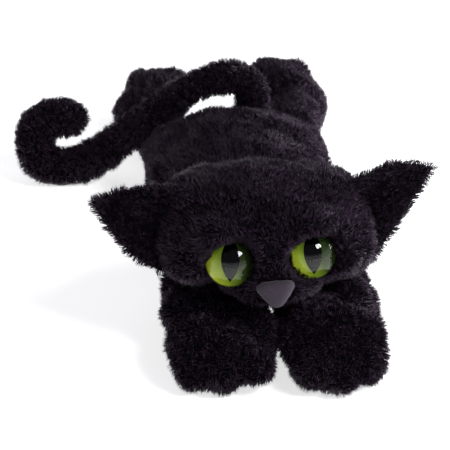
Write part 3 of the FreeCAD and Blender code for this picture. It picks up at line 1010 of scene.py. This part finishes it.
def grainy_material(name, dark, light, roughness, scale, strength=0.2, depth=0.1 * MM, detail=3.0):
    """Fine grain in colour and relief."""
    material, nodes, links, shader = new_material(name)
    texture = noise(nodes, links, scale, detail)
    colors = ramp(nodes, links, texture.outputs["Fac"], [(0.3, dark), (0.7, light)])
    links.new(colors.outputs["Color"], shader.inputs["Base Color"])
    shader.inputs["Roughness"].default_value = roughness
    bump = nodes.new("ShaderNodeBump")
    bump.inputs["Strength"].default_value = strength
    bump.inputs["Distance"].default_value = depth
    links.new(texture.outputs["Fac"], bump.inputs["Height"])
    links.new(bump.outputs["Normal"], shader.inputs["Normal"])
    return material, shader


def cloth_material():
    """Knitted backing that shows between the strands."""
    material, shader = grainy_material("backing_cloth", (0.002, 0.0015, 0.003), (0.008, 0.006, 0.011),
                                       0.95, 900.0, strength=0.6, depth=0.4 * MM, detail=2.0)
    shader.inputs["Specular IOR Level"].default_value = 0.1
    return material


def nose_material():
    """Short flock, grey with a little purple."""
    material, shader = grainy_material("nose_flock", (0.015, 0.010, 0.018), (0.042, 0.028, 0.049),
                                       0.85, 1600.0, strength=0.5, depth=0.3 * MM)
    shader.inputs["Sheen Weight"].default_value = 0.06
    return material


def plain_material(name, dark, light, roughness, scale, metallic=0.0):
    material, shader = grainy_material(name, dark, light, roughness, scale)
    shader.inputs["Metallic"].default_value = metallic
    return material


def math_node(nodes, links, operation, first, second=None):
    node = nodes.new("ShaderNodeMath")
    node.operation = operation
    for socket, value in zip(node.inputs, (first, second)):
        if isinstance(value, (int, float)):
            socket.default_value = value
        elif value is not None:
            links.new(value, socket)
    return node.outputs["Value"]


def shifted(nodes, links, value, factor, offset):
    """value * factor + offset"""
    node = nodes.new("ShaderNodeMath")
    node.operation = "MULTIPLY_ADD"
    links.new(value, node.inputs[0])
    node.inputs[1].default_value = factor
    node.inputs[2].default_value = offset
    return node.outputs["Value"]


def multiplied(nodes, links, first, second):
    """Product of two colours."""
    node = nodes.new("ShaderNodeMix")
    node.data_type = "RGBA"
    node.blend_type = "MULTIPLY"
    node.inputs["Factor"].default_value = 1.0
    links.new(first, node.inputs[6])
    links.new(second, node.inputs[7])
    return node.outputs[2]


def iris_material():
    """Painted yellow green iris with an almond pupil. Bright at one lower side and dark at the other: painted
    light and shade standing in for the light that the clear dome bends onto the iris.
    """
    material, nodes, links, shader = new_material("iris_paint")
    position = nodes.new("ShaderNodeUVMap")
    position.uv_map = "face_on"
    split = nodes.new("ShaderNodeSeparateXYZ")
    links.new(position.outputs["UV"], split.inputs["Vector"])
    x = shifted(nodes, links, split.outputs["X"], 2.0, -1.0)
    y = shifted(nodes, links, split.outputs["Y"], 2.0, -1.0)
    from_middle = math_node(nodes, links, "ADD", math_node(nodes, links, "MULTIPLY", x, x),
                            math_node(nodes, links, "MULTIPLY", y, y))
    raised = shifted(nodes, links, y, 1 / PUPIL_HALF_HEIGHT, -PUPIL_RAISE / PUPIL_HALF_HEIGHT)
    tall = math_node(nodes, links, "MULTIPLY", raised, raised)
    wide = math_node(nodes, links, "DIVIDE", math_node(nodes, links, "ABSOLUTE", x), PUPIL_HALF_WIDTH)
    pupil = math_node(nodes, links, "ADD", tall, wide)
    # painted light and shade across the iris: brighter towards one lower side, darker towards the other
    painted_light_side = math_node(nodes, links, "ADD", shifted(nodes, links, x, -0.42, 0.5),
                    shifted(nodes, links, y, -0.22, 0.0))
    streaks = noise(nodes, links, 9.0, 4.0, "UV")
    # colours of the painted light and shade, from dark green on the shaded side to bright yellow green on the
    # lit side
    base = ramp(nodes, links, painted_light_side, [
        (0.12, (0.010, 0.018, 0.004)), (0.42, (0.050, 0.086, 0.016)),
        (0.66, (0.28, 0.40, 0.028)), (0.9, (0.80, 0.90, 0.070))])
    edge = ramp(nodes, links, from_middle, [
        (0.0, (1.0, 1.0, 1.0)), (0.80, (1.0, 1.0, 1.0)), (0.99, (0.30, 0.36, 0.25))])
    tone = ramp(nodes, links, streaks.outputs["Fac"], [(0.2, (0.72, 0.78, 0.7)), (0.8, (1.0, 1.0, 1.0))])
    mask = ramp(nodes, links, pupil, [(0.95, (0.0, 0.0, 0.0)), (1.06, (1.0, 1.0, 1.0))])
    color = multiplied(nodes, links, base.outputs["Color"], edge.outputs["Color"])
    color = multiplied(nodes, links, color, tone.outputs["Color"])
    color = multiplied(nodes, links, color, mask.outputs["Color"])
    links.new(color, shader.inputs["Base Color"])
    shader.inputs["Roughness"].default_value = 0.6
    shader.inputs["Specular IOR Level"].default_value = 0.0
    return material


def lens_material():
    material, nodes, links, shader = new_material("clear_lens")
    shader.inputs["Base Color"].default_value = (1.0, 1.0, 1.0, 1.0)
    shader.inputs["Roughness"].default_value = 0.02
    shader.inputs["IOR"].default_value = 1.49
    shader.inputs["Specular IOR Level"].default_value = 0.3
    shader.inputs["Transmission Weight"].default_value = 1.0
    return material


def make_materials():
    return {
        "plush": plush_material("black_plush", (0.0003, 0.0001, 0.0004), (0.0270, 0.0112, 0.0290),
                                gloss=0.34, sheen=0.02),
        # lining colours far darker than the plush: painted shade of the hollow inside the cupped ear
        "lining": plush_material("ear_lining", (0.0002, 0.0001, 0.0002), (0.0014, 0.0008, 0.0014),
                                 gloss=0.10, sheen=0.0),
        "cloth": cloth_material(),
        "iris": iris_material(),
        "lens": lens_material(),
        "nose": nose_material(),
        "granules": plain_material("granule_bag", (0.6, 0.6, 0.58), (0.85, 0.85, 0.82), 0.7, 400.0),
        "moulding": plain_material("white_moulding", (0.62, 0.62, 0.6), (0.7, 0.7, 0.68), 0.45, 250.0),
        "black_moulding": plain_material("black_moulding", (0.006, 0.006, 0.006), (0.012, 0.012, 0.012),
                                         0.3, 250.0),
        "wire": plain_material("steel_wire", (0.35, 0.35, 0.36), (0.55, 0.55, 0.56), 0.35, 500.0, 1.0),
        "thread": plain_material("black_thread", (0.004, 0.003, 0.006), (0.018, 0.013, 0.022), 0.7, 900.0),
    }


# ---------------------------------------------------------------- flows of the pile

def flow_backwards(roots):
    return np.tile([0.0, 1.0, -0.25], (len(roots), 1))


def flow_over_head(roots):
    """Over the head the pile lies up, out and back from the nose. Brow hair hangs over the eyes."""
    centre = np.array(nose_place().translation)
    away = roots - centre
    away[:, 1] += 0.02
    away = unit(away)
    radius = eye_sizes()[0]
    for side in (1, -1):
        place = np.array(eye_place(side))
        matrix = np.linalg.inv(place)
        local = moved(roots, matrix)
        distance = np.linalg.norm(local[:, :2], axis=1)
        share = np.exp(-((distance - 1.2 * radius) / (0.4 * radius)) ** 2)
        share = share * (local[:, 1] > 0) * (local[:, 2] > -EYE_REGION_DEPTH)
        inwards = unit(np.array(place[:3, 3]) - roots)
        away = away * (1 - share)[:, None] + inwards * 1.6 * share[:, None]
    return away


def flow_forwards(roots):
    return np.tile([0.0, -1.0, -0.35], (len(roots), 1))


def flow_along(line, y):
    """Along the tail's centre line towards its tip."""
    tangents = np.gradient(line, axis=0)

    def flow(roots):
        index = nearest(np.column_stack([roots[:, 0], np.full(len(roots), y), roots[:, 2]]),
                        np.column_stack([line[:, 0], np.full(len(line), y), line[:, 1]]))
        return np.column_stack([tangents[index, 0], np.zeros(len(roots)), tangents[index, 1]]) * 1000

    return flow


def flow_outwards(direction):
    def flow(roots):
        return np.tile(np.array(direction), (len(roots), 1))
    return flow


def clear_face(starts, tips):
    """Keeps the pile off the eyes and the nose. Only brow hair may hang a little over an eye."""
    keep = np.ones(len(starts), dtype=bool)
    radius = eye_sizes()[0]
    tips = tips.copy()
    for side in (1, -1):
        place = np.array(eye_place(side))
        matrix = np.linalg.inv(place)
        root = moved(starts, matrix)
        tip = moved(tips, matrix)
        near = root[:, 2] > -EYE_REGION_DEPTH
        keep &= ~(near & (np.linalg.norm(root[:, :2], axis=1) < 0.97 * radius))
        reach = np.linalg.norm(tip[:, :2], axis=1)
        brow = np.clip(tip[:, 1] / radius, 0, 1)
        allowed = radius * (1.02 - 0.34 * brow)
        push = near & (reach < allowed)
        scale = np.where(push, allowed / np.maximum(reach, 1e-6), 1.0)
        tip[:, 0] *= scale
        tip[:, 1] *= scale
        tips = moved(tip, place)
    place = np.array(nose_place())
    matrix = np.linalg.inv(place)
    root = moved(starts, matrix)
    tip = moved(tips, matrix)
    outline = np.hypot(root[:, 0] / NOSE_HALF_WIDTH, root[:, 1] / (0.5 * NOSE_HEIGHT))
    near = root[:, 2] > -NOSE_REGION_DEPTH
    keep &= ~((outline < 0.95) & near)
    tip_outline = np.hypot(tip[:, 0] / NOSE_HALF_WIDTH, tip[:, 1] / (0.5 * NOSE_HEIGHT))
    push = near & (tip_outline < 1.08)
    scale = np.where(push, 1.08 / np.maximum(tip_outline, 1e-6), 1.0)
    tip[:, 0] *= scale
    tip[:, 1] *= scale
    tips = moved(tip, place)
    return keep, tips


# ---------------------------------------------------------------- assembly

def dress(skin, body, nodes, materials, coat, rng, clear=None, material="plush"):
    """Rides a skin and its pile on a body."""
    skin.data.materials.clear()
    skin.data.materials.append(materials["cloth"])
    pieces = pile(skin, skin.name.replace("_skin", "_pile"), coat, materials[material], rng, clear)
    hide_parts(*nodes)
    for piece in [skin] + pieces:
        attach(piece, body)


def build_cat(materials):
    rng = np.random.default_rng(SEED)
    dress(torso_skin(), "torso", ["torso_back_cover", "torso_belly_cover", "torso_stuffing"],
          materials, Coat(flow_backwards), rng)
    dress(neck_skin(), "neck", ["neck_sleeve", "neck_stuffing"], materials, Coat(flow_backwards), rng)
    dress(head_skin(), "head", ["head_face_cover", "head_back_cover", "head_stuffing"],
          materials, Coat(flow_over_head, length=0.95), rng, clear=clear_face)
    for name, side in (("left", 1), ("right", -1)):
        leg = name + "_foreleg"
        skin = foreleg_skin(leg, side)
        dress(skin, leg, [leg + "_cover", leg + "_stuffing"], materials, Coat(flow_forwards), rng)
        toe_stitches(leg, skin, False, materials)
        leg = name + "_hind_leg"
        skin = hind_leg_skin(leg, side)
        coat = Coat(flow_backwards, length=1.15, clump=0.75)
        dress(skin, leg, [leg + "_cover", leg + "_stuffing"], materials, coat, rng)
        toe_stitches(leg, skin, True, materials)
    dress_ears(materials, rng)
    dress_tail(materials, rng)
    eye(1, materials)
    eye(-1, materials)
    nose(materials)


def dress_tail(materials, rng):
    front, end, line = tail_skins()
    y = joint("tail_lift")[0].y
    coat = Coat(flow_along(line, y), lean=0.3, length=1.12, ruffle=0.34, clump=0.85, swirl=0.6)
    bend = joint("tail_bend")[0]
    curl = joint("tail_curl_bend")[0]
    down_slope = (curl - bend).normalized()
    along_floor = Vector(TAIL_CURL_WAY).normalized()
    groups = (
        (front, "tail_base", "tail_middle", bend, down_slope,
         ["tail_base_cover", "tail_base_stuffing", "tail_middle_cover", "tail_middle_stuffing"]),
        (end, "tail_middle", "tail_curl", curl, along_floor, ["tail_curl_cover", "tail_curl_stuffing"]),
    )
    for skin, first, second, centre, way, nodes in groups:
        skin.data.materials.append(materials["cloth"])
        pieces = pile(skin, skin.name.replace("_skin", "_pile"), coat, materials["plush"], rng)
        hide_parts(*nodes)
        for piece in [skin] + pieces:
            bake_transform(piece)


def finish_inner_nodes(materials):
    """Gives every hard or hidden node that stays its own material."""
    kinds = {"pellets": "granules", "washer": "moulding", "eye_stem": "black_moulding", "wire": "wire"}
    for name, node in frame["nodes"].items():
        for ending, key in kinds.items():
            if name.endswith(ending):
                node.data.materials.clear()
                node.data.materials.append(materials[key])


# ---------------------------------------------------------------- stage

def area_light(name, place, target, size, power):
    light = bpy.data.lights.new(name, "AREA")
    light.shape = "RECTANGLE"
    light.size, light.size_y = size
    light.energy = power
    lamp = bpy.data.objects.new(name, light)
    lamp.location = place
    lamp.rotation_euler = (Vector(target) - Vector(place)).to_track_quat("-Z", "Y").to_euler()
    bpy.context.scene.collection.objects.link(lamp)


def set_stage():
    material, nodes, links, shader = new_material("pale_floor")
    texture = noise(nodes, links, 3.0)
    tones = [(0.3, (0.93, 0.93, 0.94)), (0.7, (0.95, 0.95, 0.95))]
    colors = ramp(nodes, links, texture.outputs["Fac"], tones)
    links.new(colors.outputs["Color"], shader.inputs["Base Color"])
    shader.inputs["Roughness"].default_value = 0.8
    shader.inputs["Emission Color"].default_value = (1.0, 1.0, 1.0, 1.0)
    shader.inputs["Emission Strength"].default_value = FLOOR_GLOW
    reach = FLOOR_REACH
    square = [(-reach, -reach, 0), (reach, -reach, 0), (reach, reach, 0), (-reach, reach, 0)]
    floor = add_object("floor", mesh_from(square, [(0, 1, 2, 3)]))
    floor.data.materials.append(material)
    bpy.context.scene.world = studio_world()
    bpy.context.scene.view_settings.view_transform = "Standard"
    for name, place, target, size, power in LIGHTS:
        area_light(name, place, target, size, power)


def studio_world():
    """Bright backdrop all round, dark overhead."""
    world = bpy.data.worlds.new("studio")
    world.use_nodes = True
    nodes = world.node_tree.nodes
    links = world.node_tree.links
    direction = nodes.new("ShaderNodeTexCoord")
    split = nodes.new("ShaderNodeSeparateXYZ")
    links.new(direction.outputs["Generated"], split.inputs["Vector"])
    bright = (0.9, 0.9, 0.9)
    tones = [(0.0, bright), (0.16, bright), (0.34, (0.10, 0.10, 0.12))]
    shade = ramp(nodes, links, split.outputs["Z"], tones)
    links.new(shade.outputs["Color"], nodes["Background"].inputs["Color"])
    nodes["Background"].inputs["Strength"].default_value = 1.0
    return world


def set_camera():
    camera = bpy.data.cameras.new("camera")
    camera.lens = CAMERA_LENS_MM
    camera.sensor_width = 36.0
    eye_point = bpy.data.objects.new("camera", camera)
    eye_point.location = CAMERA_AT
    direction = Vector(CAMERA_LOOKS_AT) - Vector(CAMERA_AT)
    eye_point.rotation_euler = direction.to_track_quat("-Z", "Y").to_euler()
    bpy.context.scene.collection.objects.link(eye_point)
    bpy.context.scene.camera = eye_point


set_camera()
set_stage()
made = make_materials()
build_cat(made)
finish_inner_nodes(made)
